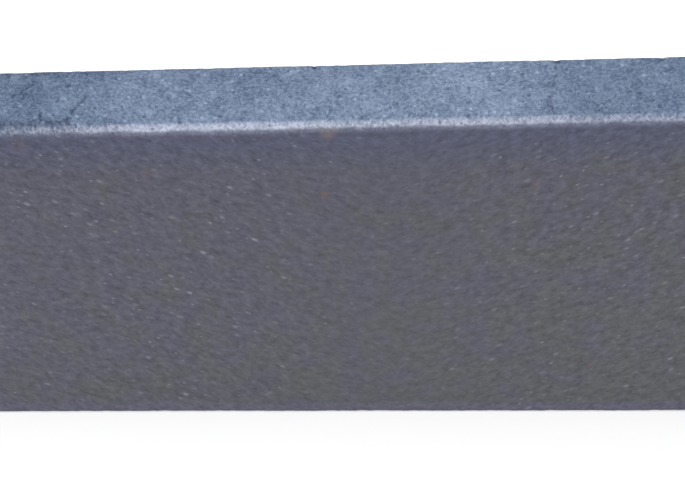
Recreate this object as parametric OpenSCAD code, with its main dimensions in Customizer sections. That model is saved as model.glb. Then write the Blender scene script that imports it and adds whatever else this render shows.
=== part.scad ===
// Square-section concrete kerb stone: one pressed piece, standing on its bed face.
// X runs along the kerb line, the road face looks towards -Y and the bed lies on Z = 0.
// The origin is in the middle of the bed.

/* [Stone] */
// Length along the kerb line
stone_length = 914; // [300:1:1200]
// Width from the road face to the back
stone_width = 125; // [80:1:250]
// Height from the bed to the walking surface
stone_height = 255; // [150:1:400]

/* [Edges] */
// Radius of the nosing, where the road face rounds over into the top
nosing_radius = 5; // [3:0.5:40]
// Bevel that the mould leaves along the other long arrises
arris_bevel = 2; // [0.5:0.5:10]
// Bevel round the two ends, where the next stones butt
end_bevel = 2; // [0.5:0.5:10]

/* [Hidden] */
// How far a cutter or a trimming prism runs past the stone
overrun = 1;
// Smoothness of the nosing's arc
$fn = 96;

// Outline of the section, counted from the foot of the road face. The corner at the
// nosing stays square, and the other three are bevelled.
function section_outline(width, height, bevel) = [
    [bevel, 0],
    [width - bevel, 0],
    [width, bevel],
    [width, height - bevel],
    [width - bevel, height],
    [0, height],
    [0, bevel]
];

// Outline of a rectangle about the origin with all four corners bevelled
function bevelled_rectangle(across, up, bevel) =
    let (x = across / 2, y = up / 2)
    [
        [x, y - bevel],
        [x - bevel, y],
        [bevel - x, y],
        [-x, y - bevel],
        [-x, bevel - y],
        [bevel - x, -y],
        [x - bevel, -y],
        [x, bevel - y]
    ];

// What the rounded nosing leaves out of a square corner, from the foot of its arc
module nosing_waste() {
    difference() {
        translate([-overrun, 0])
            square([nosing_radius + overrun, nosing_radius + overrun]);
        translate([nosing_radius, 0])
            circle(r = nosing_radius);
    }
}

// The section: X is the depth behind the road face, and Y is the height above the bed
module section() {
    difference() {
        polygon(section_outline(stone_width, stone_height, arris_bevel));
        translate([0, stone_height - nosing_radius])
            nosing_waste();
    }
}

// The section drawn out along the kerb line, with its ends still square
module bar() {
    translate([-stone_length / 2, -stone_width / 2, 0])
        rotate([90, 0, 90])
            linear_extrude(height = stone_length)
                section();
}

// The stone's plan as a prism, which bevels the upright edges of the ends
module plan_prism() {
    translate([0, 0, -overrun])
        linear_extrude(height = stone_height + 2 * overrun)
            polygon(bevelled_rectangle(stone_length, stone_width, end_bevel));
}

// The stone's road elevation as a prism, which bevels the level edges of the ends
module elevation_prism() {
    translate([0, stone_width / 2 + overrun, stone_height / 2])
        rotate([90, 0, 0])
            linear_extrude(height = stone_width + 2 * overrun)
                polygon(bevelled_rectangle(stone_length, stone_height, end_bevel));
}

module kerb_stone() {
    color([0.44, 0.49, 0.57])
        intersection() {
            bar();
            plan_prism();
            elevation_prism();
        }
}

kerb_stone();
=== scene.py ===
"""The looks of a concrete kerb stone: its worn and weathered surface, a plain studio and a camera.

The stone stands on its bed, with its length along X and its road face towards -Y.
Lengths are in metres in the mesh, and in millimetres in the finishes.
"""
import math
from types import SimpleNamespace

import bmesh
import bpy
import numpy as np
from mathutils import Color, Matrix, Vector
from mathutils.kdtree import KDTree


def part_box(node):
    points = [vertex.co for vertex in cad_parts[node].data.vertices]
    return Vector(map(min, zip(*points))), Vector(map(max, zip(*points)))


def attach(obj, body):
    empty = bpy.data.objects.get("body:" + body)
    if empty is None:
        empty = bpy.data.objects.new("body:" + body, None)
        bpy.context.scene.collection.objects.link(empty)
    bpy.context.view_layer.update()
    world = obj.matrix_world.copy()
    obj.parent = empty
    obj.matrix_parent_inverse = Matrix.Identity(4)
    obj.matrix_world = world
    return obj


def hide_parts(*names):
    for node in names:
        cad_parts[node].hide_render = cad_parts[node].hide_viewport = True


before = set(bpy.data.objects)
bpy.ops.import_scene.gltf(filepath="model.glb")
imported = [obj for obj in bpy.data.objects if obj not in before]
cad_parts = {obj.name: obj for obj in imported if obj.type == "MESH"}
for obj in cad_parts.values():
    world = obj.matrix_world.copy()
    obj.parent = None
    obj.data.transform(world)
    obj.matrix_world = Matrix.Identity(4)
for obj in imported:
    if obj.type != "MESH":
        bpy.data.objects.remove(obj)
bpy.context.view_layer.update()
stone_low, stone_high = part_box("kerb_stone")

# Millimetres in a metre, and the stone's sizes in them
MILLIMETRES = 1000
stone_length, stone_width, stone_height = (stone_high - stone_low) * MILLIMETRES

# Sizes of the stone that the frame doesn't give
NOSING_RADIUS = 0.005
ARRIS_BEVEL = 0.002
ROUNDING_STEPS = 4

# How finely the surface is divided before its relief is pressed in. It is cut into panels of about a
# length, their edges are cut again, and those on the top and the road face once more.
PANEL_LENGTH = 0.018
PANEL_CUTS = 3
EXPOSED_CUTS = 1
# A shorter edge lies across a rounded or bevelled edge, and isn't cut
SHORTEST_PANEL_EDGE = 0.003
# How far a face's normal points up, or towards the road, where the face is exposed
EXPOSED_TURN = 0.5
# How near to each other two places count as one
SAME_PLACE = 0.00001

# Relief that is modelled in the mesh: how large its forms are, how deep they go and how far they reach
WAVE_SIZE = 0.11
WAVE_DEPTH = 0.0008
SANDY_SIZE = 0.0045
SANDY_DEPTH = 0.0004
EXPOSED_REACH = 0.006
SHELTERED_SHARE = 0.3
CHIP_SIZE = 0.008
CHIP_DEPTH = 0.0004
CHIP_REACH = 0.006
CHIP_CONTRAST = 3.5
CHIP_BRIGHTNESS = 1.35
PIT_DEPTH = 0.0010
PIT_RADIUS = (0.0014, 0.0030)
PIT_COUNT = 90
NOTCH_RADIUS = (0.0030, 0.0036)
NOTCH_DEPTH = 0.0012
CRACK_REACH = 0.0026
CRACK_DEPTH = 0.0005
# Steps in which the relief fades out, and the seed of the dice for the notches and the pits
WEIGHT_STEPS = 40
PIT_SEED = 11

# Cracks in the walked top, as places along the stone and behind the road face
TOP_CRACKS = (
    ((-0.241, 0.094), (-0.250, 0.062)),
    ((-0.208, 0.099), (-0.215, 0.079)),
    ((-0.190, 0.060), (-0.195, 0.035), (-0.187, 0.004)),
    ((-0.217, 0.034), (-0.210, 0.014)),
)
# A hairline right across the top
HAIRLINE = ((0.176, 0.122), (0.164, 0.050), (0.161, 0.032), (0.158, 0.004))
# Small notches in the back arris, as places along the stone, with how dark each of them is
BACK_NOTCHES = ((-0.018, 0.98), (0.175, 0.75), (0.258, 0.5))

# The last of the steps that a colour is written in
FULL_STEP = 255


def colour(red, green, blue):
    """A colour written in the usual steps from 0 to 255, as the shaders take it."""
    return tuple((Color((red, green, blue)) / FULL_STEP).from_srgb_to_scene_linear())


# What noise and random tones vary about
MIDDLE_TONE = 0.5
# How the radius of scattered spots varies, and how much of it is full
SPOT_SIZE_SHARES = (0.6, 1.3)
SPOT_CORE_SHARE = 0.4
# Where a soft patch starts and where it is full, going by its radius
PATCH_RIM_SHARES = (1.2, 0.3)

# What all the concrete has in common. The top's texture is drawn out by brushing, in a fan from a point
# in front of the stone.
CONCRETE = SimpleNamespace(
    brushing=2.4, brush_along=60, brush_ahead=690, grain_size=1.45,
    cloud_size=40, cloud_steps=4, cloud_roughness=0.85,
    grain_height=0.3, cloud_height=0.5, roughness_swing=0.3,
)
# Finish of the walked top. Its blue-grey colour is partly weathering and partly painted skylight, lighter
# and bluer than the road face because the top faces the sky. Its patches are places along the stone and
# behind the road face, with their radius and what they add to the tone.
TOP = SimpleNamespace(
    colour=colour(118, 135, 162), tone_colour=colour(126, 135, 150),
    grain_contrast=0.61, cloud_contrast=1.75,
    fleck_spacing=5, fleck_radius=1.5, fleck_share=0.5, fleck_tone=0.55,
    pit_colour=colour(56, 72, 98), pit_spacing=5, pit_radius=1.5, pit_share=0.35, pit_strength=0.5,
    pit_height=0.5, pit_shift=(31, 17, 5),
    crack_colour=colour(46, 60, 86), crack_width=2.8, crack_strength=0.75,
    crack_sway=14, sway_size=9, sway_steps=1,
    hairline_width=2.0, hairline_strength=0.6, gap_size=4, gap_steps=0, gap_reach=(-0.2, 0.03),
    patches=((90, 34, 60, 0.17), (105, 103, 48, 0.17), (-96, 103, 45, -0.13), (158, 36, 34, 0.09)),
    notch_radius=2.8, notch_inset=5.5, roughness=0.92,
)
# Grime along the stone: where each part of it starts and is full, and what it adds to the tone of the
# top and of the nosing. The last two parts clear some of it towards the stone's ends. Two dark bands are
# painted on the top as well: a painted shadow line behind the nosing, and a darker band in front of the
# back arris.
GRIME = SimpleNamespace(
    parts=(
        (-148, -240, -0.22, -0.3),
        (-115, -205, 0, -0.25),
        (-40, 20, 0, -0.14),
        (158, 168, -0.15, -0.2),
        (-300, -360, 0.16, 0.4),
        (310, 370, 0.1, 0.24),
    ),
    wander=110, lean=0.15,
    gutter_shadow_and_band_colour=colour(60, 66, 80), gutter_shadow_and_band_strength=0.36,
    front_along=(-175, -215), front_over=(26, 6), back_along=(-225, -255), back_reach=(22, 4),
)
# Finish of the worn nosing, by how far over the edge a point is: positive on the top, and negative on the
# road face. Its pale band is partly worn paste and partly a painted highlight, brightest low on the
# rounding where the edge catches the light.
NOSING = SimpleNamespace(
    colour=colour(195, 202, 223), tone_colour=colour(199, 202, 214), grime_calm_share=0.5,
    upper_fade=(5.2, -0.3), upper_brightening=(1.5, -3.5), upper_share=0.66,
    lower_fade=(-6.4, -3.3), lower_stain=(-10, -5), lower_share=0.7,
    upper_raggedness=10, lower_raggedness=3, grain_contrast=0.56, cloud_contrast=0.75, pit_strength=0.6,
    meeting=(-5, -3), roughness=0.75,
)
# Finish of the road face, with the line that its streaks slope down to from both sides. It is calmer near
# that line, and it gets a little lighter from the top to the foot. Its dark colour is partly dirt and
# partly painted shade, because the face turns away from the sky. Its foot colour is bluer, and lighter by
# painted light that offsets the shade next to the floor.
ROAD = SimpleNamespace(
    colour=colour(105, 105, 119),
    high_colour=colour(100, 103, 124), high_reach=(45, 12),
    foot_tint_and_painted_light=colour(110, 110, 127), foot_reach=(242, 250),
    olive_colour=colour(105, 107, 111), olive_reach=(-0.5, 0.5), olive_contrast=3, olive_size=30,
    olive_below=160, olive_depth=300, olive_along=900,
    fold_along=38, fold_softness=25, slope=0.29, drag=1.8,
    streak_size=4.5, streak_steps=2, streak_roughness=0.85, streak_contrast=1.18, streak_height=0.4,
    streak_calm_share=0.75, streak_calm_reach=150, grain_contrast=0.08, lift_below=130, lift=0.0004,
    fleck_colour=colour(160, 161, 170), fleck_spacing=5.6, fleck_radius=1.45, fleck_share=0.95,
    faint_fleck=0.3, bright_fleck=0.82, fleck_rarity=4, fleck_drag=1.05,
    fleck_calm_share=0.3, fleck_calm_reach=140, roughness=0.85,
)
# Rust stains on the road face: place along the stone and below the top, radius, strength and colour
RUST_BROWN = colour(146, 104, 78)
RUST_TAN = colour(156, 136, 120)
RUST = SimpleNamespace(
    stains=(
        (-4.7, 58, 3.6, 0.36, RUST_BROWN),
        (-133, 38.5, 2.8, 0.14, RUST_BROWN),
        (2.4, 8.5, 7.5, 0.34, RUST_TAN),
        (197, 209.5, 2.6, 0.36, RUST_BROWN),
        (148, 51, 5.5, 0.13, RUST_BROWN),
        (-225, 14, 6, 0.1, RUST_BROWN),
    ),
    raggedness=3,
)
# Finish of the sides that are out of sight when the stone is laid
SIDE = SimpleNamespace(
    colour=colour(118, 124, 138), grain_contrast=0.25, cloud_contrast=1.0,
    hole_colour=colour(60, 64, 72), hole_spacing=16, hole_radius=2.2, hole_share=0.3,
    hole_strength=0.7, hole_height=0.8,
    meeting=(3, 0.5), roughness=0.9,
)
SPECULAR = 0.2

# The studio
WHITE = (1, 1, 1)
WORLD_LEVEL = 0.7
LAMP_AIM = (0, 0, 0.15)
LAMP_SIZE = (3.0, 2.0)
# Each softbox with its place and its power
SOFTBOXES = {"key_softbox": ((-0.5, -0.9, 2.4), 19), "fill_softbox": ((0.8, 1.6, 1.8), 7)}
FLOOR_SIZE = 40
FLOOR_COLOUR = (0.85, 0.85, 0.85)
FLOOR_ROUGHNESS = 0.9
FLOOR_GLOW = 0.43

# The camera
CAMERA_LENS = 55
CAMERA_PLACE = (0.060, -0.7511, 0.5258)
CAMERA_YAW = math.radians(4.396)
CAMERA_PITCH = math.radians(28.082)
CAMERA_ROLL = math.radians(-2.797)


# Modelling

def select_edges(test):
    """Selects the edges of the mesh in edit mode that pass a test."""
    mesh = bpy.context.object.data
    bpy.ops.mesh.select_mode(type="EDGE")
    bpy.ops.mesh.select_all(action="DESELECT")
    shape = bmesh.from_edit_mesh(mesh)
    for edge in shape.edges:
        if test(edge):
            edge.select_set(True)
    bmesh.update_edit_mesh(mesh)


def is_nosing(edge):
    """Whether an edge of the block is the one between the road face and the top."""
    return all(
        corner.co.y < stone_low.y + SAME_PLACE and corner.co.z > stone_high.z - SAME_PLACE
        for corner in edge.verts)


def is_long(edge):
    """Whether an edge is a panel's, and not one of the short ones across a rounded or bevelled edge."""
    return edge.calc_length() > SHORTEST_PANEL_EDGE


def is_exposed(edge):
    """Whether an edge borders the top or the road face, which wear."""
    return any(face.normal.z > EXPOSED_TURN or face.normal.y < -EXPOSED_TURN for face in edge.link_faces)


def slice_across(axis):
    """Cuts the mesh in edit mode into equal slices at right angles to one axis."""
    direction = Vector((0, 0, 0))
    direction[axis] = 1
    length = stone_high[axis] - stone_low[axis]
    count = round(length / PANEL_LENGTH)
    for step in range(1, count):
        place = direction * (stone_low[axis] + length * step / count)
        bpy.ops.mesh.select_all(action="SELECT")
        bpy.ops.mesh.bisect(plane_co=place, plane_no=direction)


def model_block():
    """The stone as it leaves the mould: a block with a round nosing and small bevels, finely divided."""
    bpy.ops.object.select_all(action="DESELECT")
    middle = (stone_low + stone_high) / 2
    bpy.ops.mesh.primitive_cube_add(size=1, location=middle, scale=stone_high - stone_low)
    bpy.ops.object.transform_apply(location=True, rotation=True, scale=True)
    piece = bpy.context.object
    piece.name = "weathered_kerb"

    bpy.ops.object.mode_set(mode="EDIT")
    select_edges(is_nosing)
    bpy.ops.transform.edge_bevelweight(value=1)
    select_edges(lambda edge: not is_nosing(edge))
    bpy.ops.transform.edge_bevelweight(value=ARRIS_BEVEL / NOSING_RADIUS)
    bpy.ops.object.mode_set(mode="OBJECT")
    rounding = piece.modifiers.new("rounding", "BEVEL")
    rounding.limit_method = "WEIGHT"
    rounding.width = NOSING_RADIUS
    rounding.segments = ROUNDING_STEPS
    bpy.ops.object.modifier_apply(modifier="rounding")

    bpy.ops.object.mode_set(mode="EDIT")
    for axis in range(3):
        slice_across(axis)
    select_edges(is_long)
    bpy.ops.mesh.subdivide(number_cuts=PANEL_CUTS)
    select_edges(lambda edge: is_long(edge) and is_exposed(edge))
    bpy.ops.mesh.subdivide(number_cuts=EXPOSED_CUTS, ngon=False)
    bpy.ops.object.mode_set(mode="OBJECT")
    return piece


def points_of(piece):
    """Every vertex of a piece, as rows of x, y and z."""
    values = np.empty(len(piece.data.vertices) * 3)
    piece.data.vertices.foreach_get("co", values)
    return values.reshape(-1, 3)


def weigh(piece, name, weights):
    """Makes a vertex group from one weight for each vertex."""
    group = piece.vertex_groups.new(name=name)
    levels = np.round(np.clip(weights, 0, 1) * WEIGHT_STEPS).astype(int)
    for level in range(1, WEIGHT_STEPS + 1):
        chosen = np.flatnonzero(levels == level).tolist()
        group.add(chosen, level / WEIGHT_STEPS, "REPLACE")


def press_in(piece, name, depth, texture=None, group=""):
    """Presses the surface in, by up to a depth, where a texture is dark or a vertex group has weight."""
    modifier = piece.modifiers.new(name, "DISPLACE")
    modifier.texture = texture
    modifier.texture_coords = "LOCAL"
    modifier.vertex_group = group
    modifier.mid_level = 1 if texture else 0
    modifier.strength = depth if texture else -depth
    bpy.ops.object.modifier_apply(modifier=name)


def cloud_texture(name, size, contrast=1.0, brightness=1.0):
    """A cloudy texture for the relief, made harder by its contrast."""
    texture = bpy.data.textures.new(name, "CLOUDS")
    texture.noise_scale = size
    texture.contrast = contrast
    texture.intensity = brightness
    texture.use_clamp = True
    return texture


def exposed_weights(points):
    """One on the top and the road face, which wear, and less on the sheltered sides."""
    on_top = points[:, 2] > stone_high.z - EXPOSED_REACH
    on_road_face = points[:, 1] < stone_low.y + EXPOSED_REACH
    return np.where(on_top | on_road_face, 1, SHELTERED_SHARE)


def arris_weights(points):
    """One on the stone's edges, fading to nothing a little way in."""
    from_sides = np.minimum(points - np.array(stone_low), np.array(stone_high) - points)
    two_nearest = np.sort(from_sides, axis=1)[:, :2]
    return 1 - np.linalg.norm(two_nearest, axis=1) / CHIP_REACH


def spot_weights(points, places, radii):
    """One in the middle of each round spot, fading to nothing at its rim."""
    finder = KDTree(len(points))
    for number, point in enumerate(points):
        finder.insert(point, number)
    finder.balance()
    weights = np.zeros(len(points))
    for place, radius in zip(places, radii):
        for _, number, distance in finder.find_range(place, radius):
            weights[number] = max(weights[number], 1 - (distance / radius) ** 2)
    return weights


def crack_weights(points):
    """One on the cracks of the top, fading to nothing beside them."""
    weights = np.zeros(len(points))
    for route in TOP_CRACKS:
        places = [np.array((along, stone_low.y + behind, stone_high.z)) for along, behind in route]
        for start, end in zip(places, places[1:]):
            run = end - start
            share = np.clip((points - start) @ run / (run @ run), 0, 1)
            gap = np.linalg.norm(points - start - share[:, None] * run, axis=1)
            weights = np.maximum(weights, 1 - gap / CRACK_REACH)
    return weights


def weather(piece):
    """Presses waves, sandy relief, chips, air holes, notches and cracks into the block."""
    dice = np.random.default_rng(PIT_SEED)
    points = points_of(piece)
    weigh(piece, "exposed", exposed_weights(points))
    weigh(piece, "arrises", arris_weights(points))
    weigh(piece, "cracks", crack_weights(points))
    notches = [(along, stone_high.y, stone_high.z) for along, _ in BACK_NOTCHES]
    weigh(piece, "notches", spot_weights(points, notches, dice.uniform(*NOTCH_RADIUS, len(notches))))
    pits = dice.uniform(stone_low, stone_high, (PIT_COUNT, 3))
    pits[:, 2] = stone_high.z
    weigh(piece, "pits", spot_weights(points, pits, dice.uniform(*PIT_RADIUS, PIT_COUNT)))

    chips = cloud_texture("chips", CHIP_SIZE, CHIP_CONTRAST, CHIP_BRIGHTNESS)
    press_in(piece, "waves", WAVE_DEPTH, cloud_texture("waves", WAVE_SIZE))
    press_in(piece, "sandy relief", SANDY_DEPTH, cloud_texture("sandy relief", SANDY_SIZE), "exposed")
    press_in(piece, "chips", CHIP_DEPTH, chips, "arrises")
    press_in(piece, "pits", PIT_DEPTH, group="pits")
    press_in(piece, "notches", NOTCH_DEPTH, group="notches")
    press_in(piece, "cracks", CRACK_DEPTH, group="cracks")

    piece.vertex_groups.clear()
    bpy.ops.object.shade_smooth()


# Node tools

class Signal:
    """What a node puts out. A sum on it adds the node that works the sum out."""

    def __init__(self, wiring, socket):
        self.wiring = wiring
        self.socket = socket

    def __add__(self, other):
        return self.wiring.math("ADD", self, other)

    def __sub__(self, other):
        return self.wiring.math("SUBTRACT", self, other)

    def __rsub__(self, other):
        return self.wiring.math("SUBTRACT", other, self)

    def __mul__(self, other):
        return self.wiring.math("MULTIPLY", self, other)

    def __truediv__(self, other):
        return self.wiring.math("DIVIDE", self, other)

    def __rtruediv__(self, other):
        return self.wiring.math("DIVIDE", other, self)

    __radd__ = __add__
    __rmul__ = __mul__


class Wiring:
    """Writes one node tree. Each node is fed with plain values and with what other nodes put out."""

    def __init__(self, tree):
        self.tree = tree

    def feed(self, socket, value):
        """Joins a socket to what another node puts out, or sets it to a plain value."""
        if isinstance(value, Signal):
            self.tree.links.new(value.socket, socket)
        elif socket.type == "RGBA":
            socket.default_value = (*value, 1)
        else:
            socket.default_value = value

    def add(self, kind, feeds, **settings):
        """Adds a node with its settings, and feeds its inputs by name or number."""
        node = self.tree.nodes.new(kind)
        for name, value in settings.items():
            setattr(node, name, value)
        for name, value in feeds.items():
            self.feed(node.inputs[name], value)
        return node

    def out(self, node, name=0):
        return Signal(self, node.outputs[name])

    def math(self, operation, *values):
        return self.out(self.add("ShaderNodeMath", dict(enumerate(values)), operation=operation))

    def vector(self, operation, *values):
        return self.out(self.add("ShaderNodeVectorMath", dict(enumerate(values)), operation=operation))

    def measure(self, operation, *values):
        """A vector sum whose result is a plain number, such as a length."""
        node = self.add("ShaderNodeVectorMath", dict(enumerate(values)), operation=operation)
        return self.out(node, "Value")

    def scaled(self, vector, factor):
        return self.out(self.add("ShaderNodeVectorMath", {0: vector, "Scale": factor}, operation="SCALE"))

    def split(self, vector):
        node = self.add("ShaderNodeSeparateXYZ", {0: vector})
        return [self.out(node, number) for number in range(3)]

    def joined(self, x, y, z):
        return self.out(self.add("ShaderNodeCombineXYZ", {0: x, 1: y, 2: z}))

    def noise(self, place, size, detail=2, roughness=0.5):
        """Cloudy noise with patches of about a size, as a value round nought."""
        feeds = {"Vector": self.scaled(place, 1 / size), "Scale": 1}
        feeds.update({"Detail": detail, "Roughness": roughness})
        return self.out(self.add("ShaderNodeTexNoise", feeds)) - MIDDLE_TONE

    def cells(self, place, size):
        """Cells of about a size, each with a random colour and the distance from its middle."""
        return self.add("ShaderNodeTexVoronoi", {"Vector": self.scaled(place, 1 / size), "Scale": 1})

    def ramp(self, value, low, high, low_result=0.0, high_result=1.0):
        """Goes smoothly from one result to the other while the value goes from low to high."""
        feeds = {"Value": value, "From Min": low, "From Max": high}
        feeds.update({"To Min": low_result, "To Max": high_result})
        return self.out(self.add("ShaderNodeMapRange", feeds, interpolation_type="SMOOTHSTEP"))

    def smallest(self, first, *others):
        for other in others:
            first = self.math("MINIMUM", first, other)
        return first

    def largest(self, first, *others):
        for other in others:
            first = self.math("MAXIMUM", first, other)
        return first

    def mixed(self, factor, first, second):
        """The first colour where the factor is nought, and the second where it is one."""
        node = self.add("ShaderNodeMix", {}, data_type="RGBA")
        sockets = {socket.identifier: socket for socket in (*node.inputs, *node.outputs)}
        self.feed(sockets["Factor_Float"], factor)
        self.feed(sockets["A_Color"], first)
        self.feed(sockets["B_Color"], second)
        return Signal(self, sockets["Result_Color"])

    def blended(self, factor, first, second):
        """As mixed, for plain values."""
        return first + factor * (second - first)

    def blended_place(self, factor, first, second):
        """As mixed, for places."""
        return self.vector("ADD", first, self.scaled(self.vector("SUBTRACT", second, first), factor))

    def shaded(self, base, tone, tone_colour=None):
        """A colour made darker or lighter by a tone, where nought leaves it as it is."""
        return self.vector("ADD", base, self.scaled(tone_colour or base, tone))

    def group(self, tree, **feeds):
        """Places a node group, fed by name, and gives back what it puts out by name."""
        node = self.add("ShaderNodeGroup", {}, node_tree=tree)
        for name, value in feeds.items():
            self.feed(node.inputs[name.replace("_", " ")], value)
        return SimpleNamespace(**{socket.name: Signal(self, socket) for socket in node.outputs})


SOCKET_KINDS = {"value": "NodeSocketFloat", "vector": "NodeSocketVector", "colour": "NodeSocketColor"}


def new_group(title, inputs, outputs):
    """Makes a node group: its wiring, its inputs by name, and a call that joins up its outputs."""
    tree = bpy.data.node_groups.new(title, "ShaderNodeTree")
    wiring = Wiring(tree)
    for direction, sockets in (("INPUT", inputs), ("OUTPUT", outputs)):
        for name, kind in sockets.items():
            tree.interface.new_socket(name, in_out=direction, socket_type=SOCKET_KINDS[kind])
    start = tree.nodes.new("NodeGroupInput")
    end = tree.nodes.new("NodeGroupOutput")
    given = SimpleNamespace(**{name.replace(" ", "_"): wiring.out(start, name) for name in inputs})

    def put_out(**results):
        for name, result in results.items():
            wiring.feed(end.inputs[name], result)
        return tree

    return wiring, given, put_out


# Effects that the finishes share

def place_group():
    """Where a point of the stone is, in millimetres: along it, behind the road face and below the top."""
    wiring, _, put_out = new_group(
        "Place on the stone", {},
        {"place": "vector", "along": "value", "behind": "value", "below": "value", "over": "value"})
    spot = wiring.out(wiring.add("ShaderNodeTexCoord", {}), "Object")
    along, across, up = wiring.split(wiring.scaled(spot, MILLIMETRES))
    behind = across - stone_low.y * MILLIMETRES
    below = stone_high.z * MILLIMETRES - up
    place = wiring.joined(along, behind, below)
    return put_out(place=place, along=along, behind=behind, below=below, over=behind - below)


def concrete_group():
    """What all the concrete shows: the tone of each grain, cloudy patches, and the height of both."""
    wiring, given, put_out = new_group(
        "Concrete", {"place": "vector"}, {"grain": "value", "cloud": "value", "height": "value"})
    cells = wiring.cells(given.place, CONCRETE.grain_size)
    grain = wiring.split(wiring.out(cells, "Color"))[0] - MIDDLE_TONE
    cloud = wiring.noise(given.place, CONCRETE.cloud_size, CONCRETE.cloud_steps, CONCRETE.cloud_roughness)
    height = cloud * CONCRETE.cloud_height - wiring.out(cells, "Distance") * CONCRETE.grain_height
    return put_out(grain=grain, cloud=cloud, height=height)


def spots_group():
    """Round spots scattered at random: a mask that is one in a spot, and the luck of each spot."""
    wiring, given, put_out = new_group(
        "Scattered spots",
        {"place": "vector", "spacing": "value", "radius": "value", "share": "value"},
        {"mask": "value", "luck": "value"})
    cells = wiring.cells(given.place, given.spacing)
    chance, size, luck = wiring.split(wiring.out(cells, "Color"))
    chosen = wiring.math("LESS_THAN", chance, given.share)
    radius = given.radius / given.spacing * wiring.ramp(size, 0, 1, *SPOT_SIZE_SHARES)
    spot = wiring.ramp(wiring.out(cells, "Distance"), radius, radius * SPOT_CORE_SHARE)
    return put_out(mask=chosen * spot, luck=luck)


def line_group():
    """How far a place is from a straight line between two ends."""
    wiring, given, put_out = new_group(
        "Gap to a line",
        {"place": "vector", "first end": "vector", "second end": "vector"},
        {"gap": "value"})
    run = wiring.vector("SUBTRACT", given.second_end, given.first_end)
    reach = wiring.vector("SUBTRACT", given.place, given.first_end)
    share = wiring.measure("DOT_PRODUCT", reach, run) / wiring.measure("DOT_PRODUCT", run, run)
    share = wiring.out(wiring.add("ShaderNodeClamp", {"Value": share}))
    aside = wiring.vector("SUBTRACT", reach, wiring.scaled(run, share))
    return put_out(gap=wiring.measure("LENGTH", aside))


def patch_group():
    """A soft round patch about a place, with an uneven rim."""
    wiring, given, put_out = new_group(
        "Soft patch",
        {"place": "vector", "middle": "vector", "radius": "value", "uneven": "value"},
        {"mask": "value"})
    away = wiring.measure("DISTANCE", given.place, given.middle) / given.radius
    return put_out(mask=wiring.ramp(away + given.uneven, *PATCH_RIM_SHARES))


# Finishes of the stone's faces

# What each finish is given, and what it puts out
SURFACE = {"place": "vector", "brushed": "vector", "grain": "value", "cloud": "value", "height": "value"}
FINISH = {"colour": "colour", "height": "value"}


def brushed_out(along, behind):
    """A place on the top as the brushing drew it out, in a fan from a point in front of the stone."""
    spread = CONCRETE.brush_ahead / (behind + CONCRETE.brush_ahead)
    return (along - CONCRETE.brush_along) * spread, behind / CONCRETE.brushing


def gap_to_routes(wiring, shared, place, routes):
    """How far a place on the top is from the nearest of several cracks."""
    gaps = []
    for route in routes:
        ends = [(along * MILLIMETRES, behind * MILLIMETRES, 0) for along, behind in route]
        for first, second in zip(ends, ends[1:]):
            gaps.append(wiring.group(shared.line, place=place, first_end=first, second_end=second).gap)
    return wiring.smallest(*gaps)


def walked_top_group(shared):
    """The blue-grey top, partly weathered and partly painted skylight: sandy, with pale flecks, dark
    pits, cracks, grime, a painted shadow line behind the nosing and a darker band at the back arris.
    """
    wiring, given, put_out = new_group(
        "Walked top", {**SURFACE, "grime": "value", "gutter": "value"}, {**FINISH, "pits": "value"})
    along, behind, _ = wiring.split(given.place)
    level = given.grime
    for patch_along, patch_behind, radius, patch_tone in TOP.patches:
        patch = wiring.group(
            shared.patch, place=given.place,
            middle=(patch_along, patch_behind, 0), radius=radius, uneven=given.cloud)
        level = patch.mask * patch_tone + level
    flecks = wiring.group(
        shared.spots, place=given.brushed,
        spacing=TOP.fleck_spacing, radius=TOP.fleck_radius, share=TOP.fleck_share)
    tone = given.grain * TOP.grain_contrast + given.cloud * TOP.cloud_contrast
    tone = tone + flecks.mask * TOP.fleck_tone
    # The top's colour is partly weathering and partly painted skylight. The gutter mix paints a shadow
    # line behind the nosing and a darker band at the back arris.
    base = wiring.mixed(given.gutter * GRIME.gutter_shadow_and_band_strength, TOP.colour, GRIME.gutter_shadow_and_band_colour)
    result = wiring.shaded(base, level + tone * (1 + level), TOP.tone_colour)
    pits = wiring.group(
        shared.spots, place=wiring.vector("ADD", given.brushed, TOP.pit_shift),
        spacing=TOP.pit_spacing, radius=TOP.pit_radius, share=TOP.pit_share)
    result = wiring.mixed(pits.mask * TOP.pit_strength, result, TOP.pit_colour)

    sway = wiring.noise(given.brushed, TOP.sway_size, TOP.sway_steps)
    swayed = wiring.joined(along + sway * TOP.crack_sway, behind, 0)
    broken = wiring.ramp(wiring.noise(given.brushed, TOP.gap_size, TOP.gap_steps), *TOP.gap_reach)
    cracks = wiring.ramp(gap_to_routes(wiring, shared, swayed, TOP_CRACKS), TOP.crack_width, 0)
    hairline = wiring.ramp(gap_to_routes(wiring, shared, swayed, [HAIRLINE]), TOP.hairline_width, 0)
    opened = wiring.largest(cracks * TOP.crack_strength, hairline * TOP.hairline_strength) * broken
    result = wiring.mixed(opened, result, TOP.crack_colour)
    for notch_along, darkness in BACK_NOTCHES:
        middle = (*brushed_out(notch_along * MILLIMETRES, stone_width - TOP.notch_inset), 0)
        notch = wiring.group(
            shared.patch, place=given.brushed, middle=middle, radius=TOP.notch_radius, uneven=0)
        result = wiring.mixed(notch.mask * darkness, result, TOP.crack_colour)
    return put_out(colour=result, height=given.height - pits.mask * TOP.pit_height, pits=pits.mask)


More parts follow.
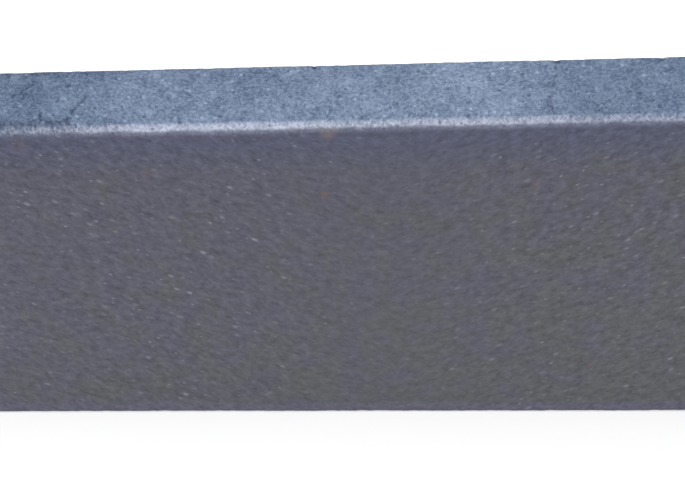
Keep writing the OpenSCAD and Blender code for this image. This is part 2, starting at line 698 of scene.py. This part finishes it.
def road_face_group(shared):
    """The dark road face, partly dirt and partly painted shade: streaks that slope to a middle line,
    small pale flecks, a little rust, and a foot lightened by painted light.
    """
    wiring, given, put_out = new_group("Road face", SURFACE, FINISH)
    along, behind, below = wiring.split(given.place)
    aside = along - ROAD.fold_along
    fold = wiring.math("SQRT", aside * aside + ROAD.fold_softness ** 2)
    dragged = wiring.joined(along / ROAD.drag, behind, below + fold * ROAD.slope)
    streak = wiring.noise(dragged, ROAD.streak_size, ROAD.streak_steps, ROAD.streak_roughness)
    patch = wiring.noise(given.place, ROAD.olive_size)
    olive = patch * ROAD.olive_contrast + (below - ROAD.olive_below) / ROAD.olive_depth
    olive = olive + along / ROAD.olive_along
    # The road face's colour is partly dirt and partly painted shade.
    base = wiring.mixed(wiring.ramp(olive, *ROAD.olive_reach), ROAD.colour, ROAD.olive_colour)
    base = wiring.mixed(wiring.ramp(below, *ROAD.high_reach), base, ROAD.high_colour)
    # Near the foot, a bluer colour that is also lightened by painted light against the shade next to the
    # floor.
    base = wiring.mixed(wiring.ramp(below, *ROAD.foot_reach), base, ROAD.foot_tint_and_painted_light)
    streak_life = wiring.ramp(fold, 0, ROAD.streak_calm_reach, ROAD.streak_calm_share, 1)
    tone = streak * ROAD.streak_contrast * streak_life + given.grain * ROAD.grain_contrast
    lift = (below - ROAD.lift_below) * ROAD.lift
    result = wiring.shaded(base, tone + lift)

    fleck_place = wiring.vector("DIVIDE", dragged, (ROAD.fleck_drag, 1, 1))
    flecks = wiring.group(
        shared.spots, place=fleck_place,
        spacing=ROAD.fleck_spacing, radius=ROAD.fleck_radius, share=ROAD.fleck_share)
    rarity = wiring.math("POWER", flecks.luck, ROAD.fleck_rarity)
    brightness = wiring.blended(rarity, ROAD.faint_fleck, ROAD.bright_fleck)
    fleck_life = wiring.ramp(fold, 0, ROAD.fleck_calm_reach, ROAD.fleck_calm_share, 1)
    result = wiring.mixed(flecks.mask * fleck_life * brightness, result, ROAD.fleck_colour)

    uneven = given.cloud * RUST.raggedness
    for stain_along, stain_below, stain_radius, strength, rust in RUST.stains:
        stain = wiring.group(
            shared.patch, place=given.place,
            middle=(stain_along, 0, stain_below), radius=stain_radius, uneven=uneven)
        result = wiring.mixed(stain.mask * strength, result, rust)
    return put_out(colour=result, height=streak * ROAD.streak_height)


def moulded_side_group(shared):
    """The sides that the mould and the bed left plain: even grey with small air holes."""
    wiring, given, put_out = new_group("Moulded side", SURFACE, FINISH)
    tone = given.grain * SIDE.grain_contrast + given.cloud * SIDE.cloud_contrast
    result = wiring.shaded(SIDE.colour, tone)
    holes = wiring.group(
        shared.spots, place=given.place,
        spacing=SIDE.hole_spacing, radius=SIDE.hole_radius, share=SIDE.hole_share)
    result = wiring.mixed(holes.mask * SIDE.hole_strength, result, SIDE.hole_colour)
    return put_out(colour=result, height=given.height - holes.mask * SIDE.hole_height)


def grime_tones(wiring, where, cloud):
    """What the grime adds to the tones of the top and the nosing, and where the top gets a painted shadow
    line behind the nosing and a darker band in front of the back arris.
    """
    along = where.along - where.behind * GRIME.lean + cloud * GRIME.wander
    top_tone = 0
    nosing_tone = 0
    for start, full, top_part, nosing_part in GRIME.parts:
        mask = wiring.ramp(along, start, full)
        top_tone = mask * top_part + top_tone
        nosing_tone = mask * nosing_part + nosing_tone
    from_back = stone_width - where.behind
    # Behind the nosing, a painted shadow line. In front of the back arris, a darker band.
    front = wiring.ramp(along, *GRIME.front_along) * wiring.ramp(where.over, *GRIME.front_over)
    back = wiring.ramp(along, *GRIME.back_along) * wiring.ramp(from_back, *GRIME.back_reach)
    return top_tone, nosing_tone, wiring.largest(front, back)


def wear_and_highlight_mask(wiring, over, cloud):
    """How worn the nosing is, and how strong its painted highlight, by how far over the edge a point is.
    """
    high = over + cloud * NOSING.upper_raggedness
    upper = wiring.blended(
        NOSING.upper_share,
        wiring.ramp(high, *NOSING.upper_brightening),
        wiring.ramp(high, *NOSING.upper_fade))
    low = over + cloud * NOSING.lower_raggedness
    lower = wiring.blended(
        NOSING.lower_share,
        wiring.ramp(low, *NOSING.lower_stain),
        wiring.ramp(low, *NOSING.lower_fade))
    return upper * lower


def hidden_mask(wiring, where):
    """One on the sides that are hidden when the stone is laid, and nought on the other two faces."""
    start, full = SIDE.meeting
    from_middle = wiring.math("ABSOLUTE", where.along)
    return wiring.largest(
        wiring.ramp(from_middle, stone_length / 2 - start, stone_length / 2 - full),
        wiring.ramp(where.behind, stone_width - start, stone_width - full),
        wiring.ramp(where.below, stone_height - start, stone_height - full))


def brushed_place(wiring, where, hidden):
    """Where a point reads its texture: the top was brushed in a fan, and the hidden sides weren't."""
    brushed = wiring.joined(*brushed_out(where.along, where.behind), where.below)
    return wiring.blended_place(hidden, brushed, where.place)


def concrete_material():
    """The stone's material: each face has its finish, and the nosing, worn and with a painted highlight,
    runs between two of them.
    """
    shared = SimpleNamespace(spots=spots_group(), line=line_group(), patch=patch_group())
    material = bpy.data.materials.new("weathered_concrete")
    material.use_nodes = True
    wiring = Wiring(material.node_tree)
    where = wiring.group(place_group())
    hidden = hidden_mask(wiring, where)
    brushed = brushed_place(wiring, where, hidden)
    concrete = wiring.group(concrete_group(), place=brushed)
    surface = dict(
        place=where.place, brushed=brushed,
        grain=concrete.grain, cloud=concrete.cloud, height=concrete.height)
    top_grime, nosing_grime, gutter = grime_tones(wiring, where, concrete.cloud)
    top = wiring.group(walked_top_group(shared), grime=top_grime, gutter=gutter, **surface)
    road = wiring.group(road_face_group(shared), **surface)
    side = wiring.group(moulded_side_group(shared), **surface)

    over_nosing = wiring.ramp(where.over, *NOSING.meeting)
    result = wiring.mixed(over_nosing, road.colour, top.colour)
    height = wiring.blended(over_nosing, road.height, top.height)

    # The pale nosing band: partly worn paste and partly a painted highlight along the rounded edge.
    wear_and_highlight = wear_and_highlight_mask(wiring, where.over, concrete.cloud)
    wear_and_highlight = wear_and_highlight * (1 - top.pits * NOSING.pit_strength)
    speckle = concrete.grain * NOSING.grain_contrast + concrete.cloud * NOSING.cloud_contrast
    speckle = speckle * (1 + nosing_grime * NOSING.grime_calm_share)
    pale = wiring.shaded(NOSING.colour, nosing_grime + speckle, NOSING.tone_colour)
    result = wiring.mixed(wear_and_highlight, result, pale)

    result = wiring.mixed(hidden, result, side.colour)
    height = wiring.blended(hidden, height, side.height)
    roughness = wiring.blended(over_nosing, ROAD.roughness, TOP.roughness)
    roughness = wiring.blended(wear_and_highlight, roughness, NOSING.roughness)
    roughness = wiring.blended(hidden, roughness, SIDE.roughness)

    shader = material.node_tree.nodes["Principled BSDF"]
    bump = wiring.out(wiring.add("ShaderNodeBump", {"Height": height, "Distance": 1 / MILLIMETRES}))
    wiring.feed(shader.inputs["Base Color"], result)
    wiring.feed(shader.inputs["Normal"], bump)
    wiring.feed(shader.inputs["Roughness"], roughness + concrete.cloud * CONCRETE.roughness_swing)
    shader.inputs["Specular IOR Level"].default_value = SPECULAR
    return material


# Studio

def seen_directly(wiring):
    """One for what the camera sees, directly or in a shiny or clear surface, and nought for the light."""
    path = wiring.add("ShaderNodeLightPath", {})
    rays = [wiring.out(path, name) for name in ("Is Camera Ray", "Is Glossy Ray", "Is Transmission Ray")]
    return wiring.largest(*rays)


def floor_material():
    """A pale floor that shows white in the picture, and keeps the stone's shadow."""
    material = bpy.data.materials.new("pale_floor")
    material.use_nodes = True
    wiring = Wiring(material.node_tree)
    shader = material.node_tree.nodes["Principled BSDF"]
    wiring.feed(shader.inputs["Base Color"], FLOOR_COLOUR)
    wiring.feed(shader.inputs["Emission Color"], WHITE)
    wiring.feed(shader.inputs["Emission Strength"], seen_directly(wiring) * FLOOR_GLOW)
    shader.inputs["Roughness"].default_value = FLOOR_ROUGHNESS
    shader.inputs["Specular IOR Level"].default_value = SPECULAR
    return material


def build_floor():
    """A wide floor under the stone."""
    bpy.ops.object.select_all(action="DESELECT")
    bpy.ops.mesh.primitive_plane_add(size=FLOOR_SIZE)
    floor = bpy.context.object
    floor.name = "floor"
    floor.data.materials.append(floor_material())


def build_light():
    """An even white world and two large softboxes."""
    world = bpy.data.worlds.new("studio")
    bpy.context.scene.world = world
    world.use_nodes = True
    wiring = Wiring(world.node_tree)
    background = world.node_tree.nodes["Background"]
    wiring.feed(background.inputs["Color"], WHITE)
    wiring.feed(background.inputs["Strength"], wiring.ramp(seen_directly(wiring), 0, 1, WORLD_LEVEL, 1))

    for name, (place, power) in SOFTBOXES.items():
        lamp = bpy.data.lights.new(name, "AREA")
        lamp.shape = "RECTANGLE"
        lamp.size, lamp.size_y = LAMP_SIZE
        lamp.energy = power
        softbox = bpy.data.objects.new(name, lamp)
        bpy.context.scene.collection.objects.link(softbox)
        aim = Vector(LAMP_AIM) - Vector(place)
        turn = aim.to_track_quat("-Z", "Y").to_matrix().to_4x4()
        softbox.matrix_world = Matrix.Translation(place) @ turn


def build_camera():
    """The camera, in front of the stone and a little above it."""
    data = bpy.data.cameras.new("camera")
    data.lens = CAMERA_LENS
    camera = bpy.data.objects.new("camera", data)
    bpy.context.scene.collection.objects.link(camera)
    turn = Matrix.Rotation(CAMERA_YAW, 4, "Z")
    turn = turn @ Matrix.Rotation(math.pi / 2 - CAMERA_PITCH, 4, "X")
    turn = turn @ Matrix.Rotation(CAMERA_ROLL, 4, "Z")
    camera.matrix_world = Matrix.Translation(CAMERA_PLACE) @ turn
    bpy.context.scene.camera = camera


# The scene

bpy.context.scene.view_settings.view_transform = "Standard"
build_camera()
build_light()
build_floor()
kerb = model_block()
weather(kerb)
kerb.data.materials.append(concrete_material())
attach(kerb, "root")
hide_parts("kerb_stone")
